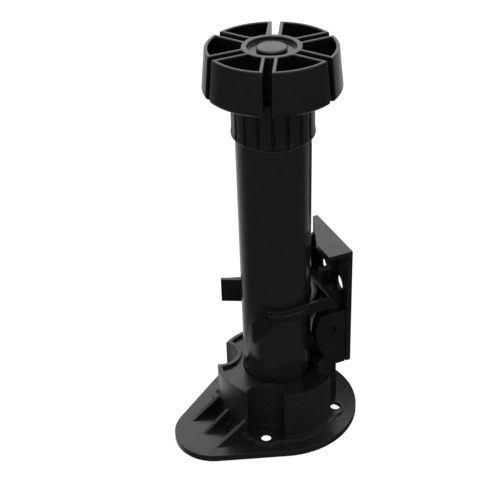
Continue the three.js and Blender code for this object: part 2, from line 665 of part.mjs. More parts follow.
const clip = new THREE.Group();
clip.position.z = CLIP_HEIGHT;
clip.rotation.z = THREE.MathUtils.degToRad(CLIP_TURN);
clip.add(plinthClip(), plinthBracket());
levelingFoot.add(clip);

export default levelingFoot;
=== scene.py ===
import math
import bpy
from mathutils import Matrix, Vector


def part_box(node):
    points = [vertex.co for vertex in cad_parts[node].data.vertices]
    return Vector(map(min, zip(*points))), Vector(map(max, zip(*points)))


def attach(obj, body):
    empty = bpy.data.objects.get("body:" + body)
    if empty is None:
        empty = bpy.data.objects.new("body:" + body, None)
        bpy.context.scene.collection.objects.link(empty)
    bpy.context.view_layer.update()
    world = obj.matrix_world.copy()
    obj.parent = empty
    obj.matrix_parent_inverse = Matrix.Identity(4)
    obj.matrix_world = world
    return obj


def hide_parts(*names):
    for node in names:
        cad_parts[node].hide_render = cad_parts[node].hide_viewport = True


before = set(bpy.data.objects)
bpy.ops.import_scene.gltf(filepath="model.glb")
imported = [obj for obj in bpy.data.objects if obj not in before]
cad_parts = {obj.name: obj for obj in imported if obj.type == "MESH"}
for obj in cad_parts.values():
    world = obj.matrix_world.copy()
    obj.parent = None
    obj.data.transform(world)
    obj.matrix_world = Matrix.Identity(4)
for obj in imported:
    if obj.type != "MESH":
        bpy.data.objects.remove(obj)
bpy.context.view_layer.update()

# ---- Leg tube ----
# The real piece is a plain moulded tube of glossy black ABS, a little wider at the foot end so that it
# draws off its core. Its plate end has a lead-in and a low ring that snaps into the plate's socket, and its
# foot end is bored out for the threaded bush.
MM = 0.001
GAP = 0.3
TUBE_STEPS = 144
TUBE_WALL = 1.65
TUBE_DRAFT = 0.55
TUBE_LEAD_IN = 0.5
SNAP_HEIGHT = 9
SNAP_RISE = 0.5
BUSH_LENGTH = 14
BUSH_SEAT_WALL = 1.25
DRUM_HEIGHT = 23.1
MERGE_REACH = 0.004
FLAT_ANGLE = math.radians(0.6)      # faces that meet at less lie in one plane
EDGE_ANGLE = math.radians(28)       # an edge that turns more gets a small radius
SMOOTH_ANGLE = math.radians(40)     # an edge that turns less is shaded smooth


def alone(*pieces):
    bpy.ops.object.select_all(action="DESELECT")
    for piece in pieces:
        piece.select_set(True)
    bpy.context.view_layer.objects.active = pieces[0]


def editing(piece):
    alone(piece)
    bpy.ops.object.mode_set(mode="EDIT")
    bpy.ops.mesh.select_all(action="SELECT")


def placed(piece, name):
    """Puts a piece's place into its mesh."""
    bpy.ops.object.mode_set(mode="OBJECT")
    alone(piece)
    bpy.ops.object.transform_apply(location=True, rotation=True, scale=True)
    piece.name = name
    return piece


def turned(name, profile, steps, hollow=False):
    """A ring drawn out and scaled through (radius, height) points in millimetres, with its ends capped;
    a hollow one's last point is its first, and the ring closes on itself."""
    bpy.ops.object.select_all(action="DESELECT")
    radius, height = profile[0]
    bpy.ops.mesh.primitive_circle_add(
        vertices=steps, radius=radius * MM, location=(0, 0, height * MM),
        fill_type="NOTHING" if hollow else "NGON",
    )
    piece = bpy.context.object
    placed(piece, name)
    editing(piece)
    for next_radius, next_height in profile[1:]:
        rise = (0, 0, (next_height - height) * MM)
        bpy.ops.mesh.extrude_region_move(TRANSFORM_OT_translate={"value": rise})
        scale = next_radius / radius
        bpy.ops.transform.resize(value=(scale, scale, 1), center_override=(0, 0, 0))
        radius, height = next_radius, next_height
    bpy.ops.mesh.select_all(action="SELECT")
    bpy.ops.mesh.remove_doubles(threshold=0.001 * MM)
    bpy.ops.mesh.normals_make_consistent(inside=False)
    return placed(piece, name)


def modified(piece, kind, **settings):
    """Adds a modifier with these settings and applies it."""
    modifier = piece.modifiers.new(kind.lower(), kind)
    for setting, value in settings.items():
        setattr(modifier, setting, value)
    alone(piece)
    bpy.ops.object.modifier_apply(modifier=modifier.name)


def refilled(piece, sides=5):
    """Draws each flat face that has more sides than this again, so that its holes stay open."""
    while True:
        editing(piece)
        bpy.ops.mesh.select_all(action="DESELECT")
        bpy.ops.mesh.select_mode(type="FACE")
        bpy.ops.object.mode_set(mode="OBJECT")
        largest = max(piece.data.polygons, key=lambda face: len(face.vertices))
        if len(largest.vertices) <= sides:
            return
        largest.select = True
        bpy.ops.object.mode_set(mode="EDIT")
        bpy.ops.mesh.faces_select_linked_flat(sharpness=math.radians(0.2))
        bpy.ops.mesh.delete(type="FACE")
        bpy.ops.mesh.select_mode(type="EDGE")
        bpy.ops.mesh.select_non_manifold(extend=False, use_wire=False, use_multi_face=False,
                                         use_non_contiguous=False, use_verts=False)
        bpy.ops.mesh.fill(use_beauty=True)
        bpy.ops.object.mode_set(mode="OBJECT")


def eased(piece, radius, segments=2):
    """Gives every hard edge of a moulding its small radius, in millimetres, and smooths what curves."""
    editing(piece)
    bpy.ops.mesh.remove_doubles(threshold=MERGE_REACH * MM)
    bpy.ops.mesh.dissolve_limited(angle_limit=FLAT_ANGLE)
    bpy.ops.mesh.select_all(action="SELECT")
    bpy.ops.mesh.normals_make_consistent(inside=False)
    bpy.ops.object.mode_set(mode="OBJECT")
    modified(
        piece, "BEVEL", width=radius * MM, segments=segments, limit_method="ANGLE",
        angle_limit=EDGE_ANGLE, use_clamp_overlap=False, miter_outer="MITER_SHARP",
    )
    refilled(piece)
    alone(piece)
    bpy.ops.object.shade_smooth_by_angle(angle=SMOOTH_ANGLE)
    modified(piece, "WEIGHTED_NORMAL", keep_sharp=True, weight=80)
    return piece


FLOW_SIZE = 9
BLOTCH_SIZE = 2.5
SCUFF_SIZE = 1.2
SCUFF_LEVEL = 0.69
PATCH_LEVEL = 0.56


def moulded_skin():
    """The skin of a black moulding: fine grain from the tool, slow flow marks and a few hairline scuffs,
    which lie in patches."""
    group = bpy.data.node_groups.new("moulded_skin", "ShaderNodeTree")
    sockets = group.interface
    for name, kind, value in (
        ("Color", "NodeSocketColor", (0.01, 0.01, 0.01, 1)),
        ("Roughness", "NodeSocketFloat", 0.3),
        ("Flow", "NodeSocketFloat", 0.05),
        ("Grain size", "NodeSocketFloat", 0.25),
        ("Scuffs", "NodeSocketFloat", 0.3),
    ):
        sockets.new_socket(name=name, in_out="INPUT", socket_type=kind).default_value = value
    sockets.new_socket(name="Color", in_out="OUTPUT", socket_type="NodeSocketColor")
    sockets.new_socket(name="Roughness", in_out="OUTPUT", socket_type="NodeSocketFloat")
    sockets.new_socket(name="Height", in_out="OUTPUT", socket_type="NodeSocketFloat")
    nodes, link = group.nodes, group.links.new
    given = nodes.new("NodeGroupInput")
    result = nodes.new("NodeGroupOutput")
    place = nodes.new("ShaderNodeTexCoord")

    def math_node(operation, a, b, c=None):
        node = nodes.new("ShaderNodeMath")
        node.operation = operation
        for socket, value in zip(node.inputs, (a, b, c)):
            if value is None:
                continue
            if isinstance(value, (int, float)):
                socket.default_value = value
            else:
                link(value, socket)
        return node.outputs[0]

    def noise(scale, detail, stretch=(1, 1, 1)):
        mapping = nodes.new("ShaderNodeMapping")
        mapping.inputs["Scale"].default_value = stretch
        link(place.outputs["Object"], mapping.inputs["Vector"])
        texture = nodes.new("ShaderNodeTexNoise")
        texture.inputs["Detail"].default_value = detail
        link(mapping.outputs["Vector"], texture.inputs["Vector"])
        if isinstance(scale, (int, float)):
            texture.inputs["Scale"].default_value = scale
        else:
            link(scale, texture.inputs["Scale"])
        return texture.outputs["Fac"]

    grain = noise(math_node("DIVIDE", 1 / MM, given.outputs["Grain size"]), 2)
    flow = noise(1 / (FLOW_SIZE * MM), 3, stretch=(1, 1, 0.35))
    blotch = noise(1 / (BLOTCH_SIZE * MM), 4)
    hair = noise(1 / (SCUFF_SIZE * MM), 2, stretch=(6, 6, 0.25))
    scuff = math_node("MULTIPLY", math_node("GREATER_THAN", hair, SCUFF_LEVEL), given.outputs["Scuffs"])
    scuff = math_node("MULTIPLY", scuff, math_node("GREATER_THAN", blotch, PATCH_LEVEL))
    drift = math_node("MULTIPLY", math_node("SUBTRACT", flow, 0.5), given.outputs["Flow"])
    spots = math_node("MULTIPLY", math_node("SUBTRACT", blotch, 0.5), given.outputs["Flow"])
    rough = math_node("ADD", given.outputs["Roughness"], math_node("MULTIPLY_ADD", drift, 2, spots))
    link(math_node("MULTIPLY_ADD", scuff, 0.25, rough), result.inputs["Roughness"])
    lift = nodes.new("ShaderNodeHueSaturation")
    link(given.outputs["Color"], lift.inputs["Color"])
    link(math_node("ADD", math_node("MULTIPLY_ADD", spots, 6, 1), scuff), lift.inputs["Value"])
    link(lift.outputs["Color"], result.inputs["Color"])
    link(math_node("MULTIPLY_ADD", scuff, -0.5, grain), result.inputs["Height"])
    return group


skin = moulded_skin()


def plastic(name, shade, roughness, flow=0.05, grain_size=0.25, grain=0.1, scuffs=0.1):
    """A black moulding's finish; grain is the strength of the tool's texture."""
    material = bpy.data.materials.new(name)
    material.use_nodes = True
    nodes, link = material.node_tree.nodes, material.node_tree.links.new
    shader = nodes["Principled BSDF"]
    surface = nodes.new("ShaderNodeGroup")
    surface.node_tree = skin
    surface.inputs["Color"].default_value = (*shade, 1)
    surface.inputs["Roughness"].default_value = roughness
    surface.inputs["Flow"].default_value = flow
    surface.inputs["Grain size"].default_value = grain_size
    surface.inputs["Scuffs"].default_value = scuffs
    bump = nodes.new("ShaderNodeBump")
    bump.inputs["Strength"].default_value = grain
    bump.inputs["Distance"].default_value = 0.02 * MM
    link(surface.outputs["Color"], shader.inputs["Base Color"])
    link(surface.outputs["Roughness"], shader.inputs["Roughness"])
    link(surface.outputs["Height"], bump.inputs["Height"])
    link(bump.outputs["Normal"], shader.inputs["Normal"])
    shader.inputs["IOR"].default_value = 1.5
    return material


def finished(piece, body, node, material):
    """Dresses a piece, sets it on its body and lets it stand for its CAD node."""
    piece.data.materials.clear()
    piece.data.materials.append(material)
    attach(piece, body)
    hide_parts(node)


tube_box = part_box("leg_tube")
tube_low = tube_box[0].z / MM
tube_high = tube_box[1].z / MM
tube_foot_r = tube_box[1].x / MM
tube_plate_r = tube_foot_r - TUBE_DRAFT
bush_seat = tube_high - BUSH_LENGTH - GAP
bush_seat_r = tube_foot_r - BUSH_SEAT_WALL
tube_bore_r = tube_plate_r - TUBE_WALL
tube = turned("tube", [
    (tube_plate_r - TUBE_LEAD_IN, tube_low),
    (tube_plate_r, tube_low + TUBE_LEAD_IN),
    (tube_plate_r, SNAP_HEIGHT),
    (tube_plate_r + SNAP_RISE, SNAP_HEIGHT + SNAP_RISE),
    (tube_plate_r, SNAP_HEIGHT + 2 * SNAP_RISE),
    (tube_plate_r, DRUM_HEIGHT),
    (tube_foot_r, tube_high),
    (bush_seat_r, tube_high),
    (bush_seat_r, bush_seat),
    (tube_bore_r, bush_seat),
    (tube_bore_r, tube_low),
    (tube_plate_r - TUBE_LEAD_IN, tube_low),
], steps=TUBE_STEPS, hollow=True)
eased(tube, radius=0.3, segments=3)
gloss = plastic("glossy_tube", (0.009, 0.009, 0.0092), roughness=0.2, flow=0.05, grain_size=0.4, grain=0.04)
finished(tube, "leg", "leg_tube", gloss)

# ---- Mounting plate ----
# One moulding of black polypropylene: a teardrop flange that is screwed up against the cabinet, a round drum
# with a notch for each of its four screws, a web that ties the drum to the tube's socket, and three ribs
# that brace the drum from the tongue. It is cored out from below.
FLANGE_THICK = 2.7
FLANGE_R = 29.5
FLANGE_X = 1
TONGUE_R = 15.5
TONGUE_X = -28.4
STEP_R = 24.4
STEP_RISE = 1
PAD_GRID = 28.6
PAD_R = 6
PAD_CORE_R = 5
SCREW_GRID = 32
SCREW_HOLE_R = 1.9
SCREW_LAND = 1
DRUM_R = 22.75
DRUM_WALL = 1.6
DRUM_STEPS = 140
WEB_DROP = 1.3
WEB_THICK = 2
SOCKET_WALL = 1.8
NOTCH_WALL = 2.9
RIB_SPACING = 9
RIB_THICK = 1.4
RIB_REACH = 11
RIB_RISE = 6.8
PAST = 1


def cylinder(radius, low, high, x=0, y=0, steps=96):
    bpy.ops.object.select_all(action="DESELECT")
    bpy.ops.mesh.primitive_cylinder_add(
        vertices=steps, radius=radius * MM, depth=(high - low) * MM,
        location=(x * MM, y * MM, (low + high) / 2 * MM),
    )
    return placed(bpy.context.object, "cylinder")


def slab(low, high):
    """A block between two corners, in millimetres."""
    bpy.ops.object.select_all(action="DESELECT")
    centre = [(a + b) / 2 * MM for a, b in zip(low, high)]
    size = [(b - a) * MM for a, b in zip(low, high)]
    bpy.ops.mesh.primitive_cube_add(size=1, location=centre, scale=size)
    return placed(bpy.context.object, "slab")


def prism(outline, low, high):
    """An outline in plan, drawn up from low to high, in millimetres."""
    bpy.ops.object.select_all(action="DESELECT")
    bpy.ops.mesh.primitive_circle_add(vertices=len(outline), radius=MM, fill_type="NGON")
    piece = bpy.context.object
    for vertex, (x, y) in zip(piece.data.vertices, outline):
        vertex.co = (x * MM, y * MM, low * MM)
    editing(piece)
    rise = (0, 0, (high - low) * MM)
    bpy.ops.mesh.extrude_region_move(TRANSFORM_OT_translate={"value": rise})
    bpy.ops.mesh.select_all(action="SELECT")
    bpy.ops.mesh.normals_make_consistent(inside=False)
    return placed(piece, "prism")


def upright(outline, low, high):
    """An outline in the XZ plane, given thickness from low to high along Y."""
    piece = prism(outline, -high, -low)
    piece.rotation_euler = (math.pi / 2, 0, 0)
    return placed(piece, "upright")


def combined(piece, other, operation):
    modifier = piece.modifiers.new("combined", "BOOLEAN")
    modifier.solver = "EXACT"
    modifier.operation = operation
    modifier.object = other
    alone(piece)
    bpy.ops.object.modifier_apply(modifier=modifier.name)
    bpy.data.objects.remove(other)
    return piece


def add(piece, *others):
    for other in others:
        combined(piece, other, "UNION")
    return piece


def cut(piece, *others):
    for other in others:
        combined(piece, other, "DIFFERENCE")
    return piece


def corners(grid):
    return [(x * grid / 2, y * grid / 2) for x in (1, -1) for y in (1, -1)]


socket_r = tube_plate_r + GAP
notch_r = SCREW_GRID * math.sqrt(0.5) - socket_r - NOTCH_WALL
notch_floor = FLANGE_THICK + STEP_RISE
web_top = DRUM_HEIGHT - WEB_DROP
web_bottom = web_top - WEB_THICK
above = DRUM_HEIGHT + PAST

# The flange is the hull of two short cylinders.
plate = cylinder(FLANGE_R, 0, FLANGE_THICK, FLANGE_X, steps=160)
tongue = cylinder(TONGUE_R, 0, FLANGE_THICK, TONGUE_X, steps=128)
alone(plate, tongue)
bpy.ops.object.join()
editing(plate)
bpy.ops.mesh.convex_hull()
placed(plate, "plate")
add(plate, cylinder(STEP_R, PAST / 2, notch_floor, steps=144))
for x, y in corners(PAD_GRID):
    add(plate, cylinder(PAD_R, PAST / 2, notch_floor, x, y, steps=64))
add(plate, cylinder(DRUM_R, PAST / 2, DRUM_HEIGHT, steps=DRUM_STEPS))
for y in (-RIB_SPACING, 0, RIB_SPACING):
    foot = math.sqrt(DRUM_R ** 2 - y ** 2)
    add(plate, upright([
        (-DRUM_R - RIB_REACH, FLANGE_THICK / 2),
        (-foot + DRUM_WALL / 2, FLANGE_THICK / 2),
        (-foot + DRUM_WALL / 2, FLANGE_THICK + RIB_RISE),
        (-foot, FLANGE_THICK + RIB_RISE),
        (-DRUM_R - RIB_REACH, FLANGE_THICK),
    ], y - RIB_THICK / 2, y + RIB_THICK / 2))


def drum_inside(low, high):
    """What lies inside the drum's wall, which follows the notches at an even thickness."""
    inside = cylinder(DRUM_R - DRUM_WALL, low, high, steps=DRUM_STEPS)
    for x, y in corners(SCREW_GRID):
        cut(inside, cylinder(notch_r + DRUM_WALL, low - PAST, high + PAST, x, y, steps=72))
    return inside


hollow = cut(
    drum_inside(-PAST, web_bottom), cylinder(socket_r + SOCKET_WALL, -2 * PAST, above),
)
cut(plate, drum_inside(web_top, above), hollow)
for x, y in corners(SCREW_GRID):
    cut(plate, cylinder(notch_r, notch_floor, above, x, y, steps=72))
    cut(plate, cylinder(SCREW_HOLE_R, -PAST, above, x, y, steps=40))
for x, y in corners(PAD_GRID):
    cut(plate, cylinder(PAD_CORE_R, -PAST, notch_floor - SCREW_LAND, x, y, steps=56))
cut(plate, turned("bore", [
    (socket_r, FLANGE_THICK),
    (socket_r, SNAP_HEIGHT - GAP),
    (socket_r + SNAP_RISE, SNAP_HEIGHT - GAP + SNAP_RISE),
    (socket_r + SNAP_RISE, SNAP_HEIGHT + GAP + SNAP_RISE),
    (socket_r, SNAP_HEIGHT + GAP + 2 * SNAP_RISE),
    (socket_r, above),
], steps=96))
eased(plate, radius=0.25)
satin = plastic(
    "satin_plate", (0.0072, 0.0072, 0.0073), roughness=0.27, flow=0.08, grain_size=0.3, grain=0.12,
)
finished(plate, "leg", "mounting_plate", satin)

# ---- Foot disc ----
# The foot is one black moulding: a hub, and six hollow pie segments with a slot between each pair, open at
# the ground face so that every wall is the same thickness. Its side flares towards a rounded lower edge.
DISC_FLARE = 1.35
DISC_ROUND = 1.6
DISC_ROUND_STEPS = 6
DISC_WALL = 1.25
DISC_FLOOR = 1.8
SEGMENT_COUNT = 6
SLOT_WIDTH = 2.8
SLOT_TURN = -7.5
HUB_WALL = 1.45
HUB_WEB = 3.8
RECESS_RIM = 1.9
RECESS_DEPTH = 1.4
BUSH_WALL = 1.8
THREAD_DEPTH = 1.1
PIN_R = 3.2

disc_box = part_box("foot_disc")
ground = disc_box[1].z / MM
disc_under = disc_box[0].z / MM
disc_r = disc_box[1].y / MM
thread_r = bush_seat_r - GAP - BUSH_WALL - GAP
root_r = thread_r - THREAD_DEPTH
hub_r = root_r + GAP + HUB_WALL
neck_top = ground - RECESS_DEPTH - HUB_WEB - GAP


def disc_profile(inset, low, high):
    """The side from its rounded lower edge up to the ground face."""
    centre_r = disc_r - DISC_ROUND
    centre_z = disc_under + DISC_ROUND
    points = []
    for i in range(DISC_ROUND_STEPS + 1):
        angle = (i / DISC_ROUND_STEPS - 1) * math.pi / 2
        height = centre_z + (DISC_ROUND - inset) * math.sin(angle)
        points.append((centre_r + (DISC_ROUND - inset) * math.cos(angle), max(height, low)))
    points.append((disc_r - DISC_FLARE - inset, ground))
    if high > ground:
        points.append((disc_r - DISC_FLARE - inset, high))
    return points


def spokes(count, reach, half_width, low, high, turn=0):
    """Bars right across the axis, joined: each makes two of the spokes. The first is turned, in degrees."""
    bars = None
    for i in range(count // 2):
        bar = slab((-reach, -half_width, low), (reach, half_width, high))
        bar.rotation_euler = (0, 0, math.radians(turn + i * 360 / count))
        placed(bar, "bar")
        bars = add(bars, bar) if bars else bar
    return bars


def slots(half_width):
    """What the slots between the segments take out, outside the hub."""
    bars = spokes(SEGMENT_COUNT, disc_r + PAST, half_width, disc_under - PAST, ground + PAST, SLOT_TURN)
    return cut(bars, cylinder(hub_r, disc_under - 2 * PAST, ground + 2 * PAST))


disc = turned("disc", disc_profile(0, disc_under, ground), steps=144)
floor_top = disc_under + DISC_FLOOR
pockets = turned("pockets", disc_profile(DISC_WALL, floor_top, ground + PAST), steps=144)
cut(pockets, cylinder(hub_r, disc_under - 2 * PAST, ground + 2 * PAST))
cut(pockets, slots(SLOT_WIDTH / 2 + DISC_WALL))
cut(disc, pockets, slots(SLOT_WIDTH / 2))
cut(disc, cylinder(hub_r - RECESS_RIM, ground - RECESS_DEPTH, ground + PAST))
cut(disc, cylinder(root_r + GAP, disc_under - PAST, neck_top + GAP))
cut(disc, cylinder(PIN_R + GAP, disc_under, ground + PAST, steps=48))
eased(disc, radius=0.35, segments=3)
foot_satin = plastic(
    "satin_disc", (0.0058, 0.0058, 0.006), roughness=0.27, flow=0.07, grain_size=0.3, grain=0.14,
)
finished(disc, "foot", "foot_disc", foot_satin)

# ---- Grip collar ----
# A hand turns the leg by this collar, so its side is fluted: broad lands with narrow round grooves between
# them, and a low bead round its lower end. Inside it is keyed to the spindle and recessed for its flange.
COLLAR_WALL = 1.8
COLLAR_BEAD = 0.25
COLLAR_BEAD_HEIGHT = 3
COLLAR_CHAMFER = 0.8
FLUTE_COUNT = 18
FLUTE_WIDTH = 1.1
FLUTE_DEPTH = 0.7
FLUTE_TURN = 16.4
THRUST_REACH = 2.6
THRUST_THICK = 2
SPLINE_COUNT = 6
SPLINE_WIDTH = 2.4
SPLINE_DEPTH = 1

collar_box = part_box("grip_collar")
collar_low = collar_box[0].z / MM
collar_high = collar_box[1].z / MM
thrust_r = thread_r + THRUST_REACH
collar_r = thrust_r + GAP + COLLAR_WALL
bead_r = collar_r + COLLAR_BEAD
collar = turned("collar", [
    (bead_r - COLLAR_CHAMFER, collar_low),
    (bead_r, collar_low + COLLAR_CHAMFER),
    (bead_r, collar_low + COLLAR_BEAD_HEIGHT / 2),
    (collar_r, collar_low + COLLAR_BEAD_HEIGHT),
    (collar_r, collar_high),
], steps=8 * FLUTE_COUNT)
for i in range(FLUTE_COUNT):
    angle = math.radians(FLUTE_TURN + i * 360 / FLUTE_COUNT)
    reach = collar_r - FLUTE_DEPTH + FLUTE_WIDTH / 2
    flute = cylinder(
        FLUTE_WIDTH / 2, collar_low - PAST, collar_high + PAST,
        reach * math.cos(angle), reach * math.sin(angle), steps=16,
    )
    cut(collar, flute)
cut(collar, cylinder(thread_r + GAP, collar_low - PAST, collar_high + PAST))
cut(collar, spokes(
    SPLINE_COUNT, thread_r + SPLINE_DEPTH + GAP, SPLINE_WIDTH / 2 + GAP,
    collar_low + SPLINE_DEPTH - GAP, collar_high + PAST,
))
cut(collar, cylinder(thrust_r + GAP, collar_high - THRUST_THICK - GAP, collar_high + PAST))
eased(collar, radius=0.15)
grip = plastic(
    "satin_collar", (0.006, 0.006, 0.0062), roughness=0.32, flow=0.06, grain_size=0.25, grain=0.15,
)
finished(collar, "adjuster", "grip_collar", grip)

# ---- Spindle ----
# A hollow right-handed screw, moulded in one with the flange that takes the thrust and the neck that the
# disc swivels on. It is lightly greased, and shows only when the foot is screwed out.
THREAD_PITCH = 5
THREAD_CREST = 1.5
THREAD_FLANK = 0.65
THREAD_STEPS = 48
SPINDLE_WALL = 1.9
SPINDLE_END_THICK = 6
NECK_CHAMFER = 0.8

spindle_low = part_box("spindle")[0].z / MM
spindle = turned("spindle", [
    (root_r, spindle_low),
    (root_r, collar_low),
    (thread_r, collar_low),
    (thread_r, collar_high - THRUST_THICK),
    (thrust_r, collar_high - THRUST_THICK),
    (thrust_r, collar_high),
    (root_r, collar_high),
    (root_r, neck_top - NECK_CHAMFER),
    (root_r - NECK_CHAMFER, neck_top),
], steps=96)
turns = math.ceil((collar_low - spindle_low) / THREAD_PITCH) + 2
first_crest = collar_low - GAP - turns * THREAD_PITCH
crest_half = THREAD_CREST / 2
section = [
    (thread_r, -crest_half), (thread_r, crest_half),
    (root_r, crest_half + THREAD_FLANK), (root_r - GAP, crest_half + THREAD_FLANK),
    (root_r - GAP, -crest_half - THREAD_FLANK), (root_r, -crest_half - THREAD_FLANK),
]
bpy.ops.object.select_all(action="DESELECT")
bpy.ops.mesh.primitive_circle_add(vertices=len(section), radius=MM, fill_type="NOTHING")
thread = placed(bpy.context.object, "thread")
for vertex, (radius, rise) in zip(thread.data.vertices, section):
    vertex.co = (radius * MM, 0, (first_crest + rise) * MM)
modified(
    thread, "SCREW", screw_offset=THREAD_PITCH * MM, iterations=turns + 1, steps=THREAD_STEPS,
    render_steps=THREAD_STEPS, use_merge_vertices=False,
)
editing(thread)
bpy.ops.mesh.fill_holes(sides=len(section))
bpy.ops.mesh.select_all(action="SELECT")
bpy.ops.mesh.normals_make_consistent(inside=False)
placed(thread, "thread")
combined(thread, cylinder(thread_r + PAST, spindle_low, collar_low), "INTERSECT")
add(spindle, thread)
add(spindle, spokes(
    SPLINE_COUNT, thread_r + SPLINE_DEPTH, SPLINE_WIDTH / 2, collar_low + SPLINE_DEPTH, collar_high,
))
cut(spindle, cylinder(root_r - SPINDLE_WALL, spindle_low - PAST, neck_top - SPINDLE_END_THICK))
cut(spindle, cylinder(PIN_R + GAP, spindle_low, neck_top + PAST, steps=48))
eased(spindle, radius=0.12)
greased = plastic(
    "greased_spindle", (0.006, 0.006, 0.006), roughness=0.24, flow=0.12, grain_size=0.4, grain=0.08,
)
finished(spindle, "adjuster", "spindle", greased)

# ---- Pivot pin ----
# A mushroom-headed pin pushed through the hub: its barb springs out inside the hollow spindle and holds the
# disc on while it swivels. The head is slightly domed and its shank is split so that it can close up.
PIN_HEAD_R = 5.15
PIN_HEAD_THICK = 1
PIN_CHAMFER = 0.4
PIN_DOME = 0.12
PIN_BARB = 0.7
PIN_BARB_LENGTH = 2.6
PIN_BARB_EDGE = 0.5
PIN_SPLIT = 1.2

head_low = ground - RECESS_DEPTH + GAP
head_high = head_low + PIN_HEAD_THICK
barb_top = neck_top - SPINDLE_END_THICK - GAP
pin_tip = barb_top - PIN_BARB_LENGTH
pin = turned("pin", [
    (PIN_R - PIN_CHAMFER, pin_tip),
    (PIN_R + PIN_BARB, barb_top - PIN_BARB_EDGE),
    (PIN_R + PIN_BARB, barb_top),
    (PIN_R, barb_top),
    (PIN_R, head_low),
    (PIN_HEAD_R, head_low),
    (PIN_HEAD_R, head_high - PIN_CHAMFER - PIN_DOME),
    (PIN_HEAD_R - PIN_CHAMFER, head_high - PIN_DOME),
    (PIN_HEAD_R / 2, head_high - PIN_DOME / 4),
    (PIN_SPLIT / 2, head_high),
], steps=72)
for turn in (0, math.pi / 2):
    split = slab(
        (-PIN_HEAD_R, -PIN_SPLIT / 2, pin_tip - PAST),
        (PIN_HEAD_R, PIN_SPLIT / 2, barb_top + PIN_BARB_LENGTH),
    )
    split.rotation_euler = (0, 0, turn)
    cut(pin, placed(split, "split"))
eased(pin, radius=0.15)
button = plastic(
    "satin_pin", (0.0062, 0.0062, 0.0064), roughness=0.26, flow=0.08, grain_size=0.25, grain=0.12,
)
finished(pin, "adjuster", "pivot_pin", button)

# ---- Thread bush ----
# The bush that the spindle screws through is keyed in the tube's wide end. Only its end face can be seen,
# past the spindle, so the moulding stays as it is and gets the dry, matte skin of nylon.
nylon = plastic(
    "matte_bush", (0.0085, 0.0085, 0.0088), roughness=0.5, flow=0.06, grain_size=0.2, grain=0.25,
)
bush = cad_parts["thread_bush"]
bush.data.materials.clear()
bush.data.materials.append(nylon)

# ---- Plinth clip ----
# A springy C-shaped band that presses on to the tube, with a thumb ear flared out at each end to pull it off
# by. It is one glossy black moulding with the slotted block that carries the bracket and its two cheeks.
BAND_HEIGHT = 4.7
BAND_WALL = 2.3
BAND_PLAY = 0.2
BAND_ANGLE = math.radians(125.7)
BAND_STEPS = 72
RIDGE_RISE = 0.6
RIDGE_HEIGHT = 1.5
EAR_REACH = Vector((-6.5, 3.3))
EAR_THICK = 1.6
EAR_DROP = 5
EAR_ROOT = 1
SINK = 0.5
CLIP_TURN = math.radians(-9.5)
CHEEK_Y = 14.25
CHEEK_THICK = 3.95
CHEEK_TOP = -4.75
CHEEK_BOTTOM = -28.15
CHEEK_EDGE = [
    (-9.95, CHEEK_TOP), (-12.45, -9.2), (-12.05, -13.2), (-11.25, -19.2), (-7.55, -24.95),
    (-5.85, CHEEK_BOTTOM), (-3.05, CHEEK_BOTTOM),
]
DIMPLE_R = 1.6
DIMPLE_DEPTH = 1.5
DIMPLE_X = -5.25
DIMPLE_Z = -12.2
BLOCK_BACK = 1.5
POCKET_WALL = 1.4
BRACKET_X = 23.85
BRACKET_THICK = 2
TONGUE_NECK = 2
TONGUE_HEAD = 5
TONGUE_HEAD_THICK = 1.6
TONGUE_NECK_DEPTH = 2.25

band_half = BAND_HEIGHT / 2
band_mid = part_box("plinth_clip")[1].z / MM - band_half
plate_x = BRACKET_X - BRACKET_THICK
block_x = plate_x - GAP
neck_x = plate_x - TONGUE_NECK_DEPTH
head_x = neck_x - TONGUE_HEAD_THICK
back_x = head_x - GAP - BLOCK_BACK


def tube_radius(height):
    share = (height - DRUM_HEIGHT) / (tube_high - DRUM_HEIGHT)
    return tube_plate_r + TUBE_DRAFT * share


band_bore_r = tube_radius(band_mid + band_half) + BAND_PLAY
band_r = band_bore_r + BAND_WALL


def on_clip(piece):
    """Moves a piece from the clip's own square frame to where the clip is left on the tube."""
    piece.location = (0, 0, band_mid * MM)
    piece.rotation_euler = (0, 0, CLIP_TURN)
    return placed(piece, piece.name)


def arc_points(radius, start, end, steps):
    angles = [start + (end - start) * i / steps for i in range(steps + 1)]
    return [(radius * math.cos(angle), radius * math.sin(angle)) for angle in angles]


def band_ring(outer_r, low, high):
    outline = arc_points(outer_r, -BAND_ANGLE, BAND_ANGLE, BAND_STEPS)
    outline += arc_points(band_bore_r - PAST, BAND_ANGLE, -BAND_ANGLE, BAND_STEPS)
    return prism(outline, low, high)


def ear(side):
    root = Vector((band_r * math.cos(BAND_ANGLE), band_r * math.sin(BAND_ANGLE)))
    along = EAR_REACH.normalized()
    inward = Vector((-along.y, along.x)) * EAR_THICK
    start = root - along * EAR_ROOT
    tip = root + EAR_REACH
    outline = [start, tip, tip + inward, start + inward]
    return prism([(x, y * side) for x, y in outline], -band_half - EAR_DROP, band_half)


def curve_through(points, steps=10):
    """A start, then pairs of a control point and an end, as quadratic curves."""
    outline = [points[0]]
    for i in range(1, len(points), 2):
        (x0, z0), (x1, z1), (x2, z2) = points[i - 1:i + 2]
        for step in range(1, steps + 1):
            t = step / steps
            outline.append((
                (1 - t) ** 2 * x0 + 2 * t * (1 - t) * x1 + t ** 2 * x2,
                (1 - t) ** 2 * z0 + 2 * t * (1 - t) * z1 + t ** 2 * z2,
            ))
    return outline


def cheek(low, high):
    edge = curve_through([(block_x + x, z) for x, z in CHEEK_EDGE])
    return upright([(block_x, CHEEK_BOTTOM), (block_x, CHEEK_TOP)] + edge, low, high)


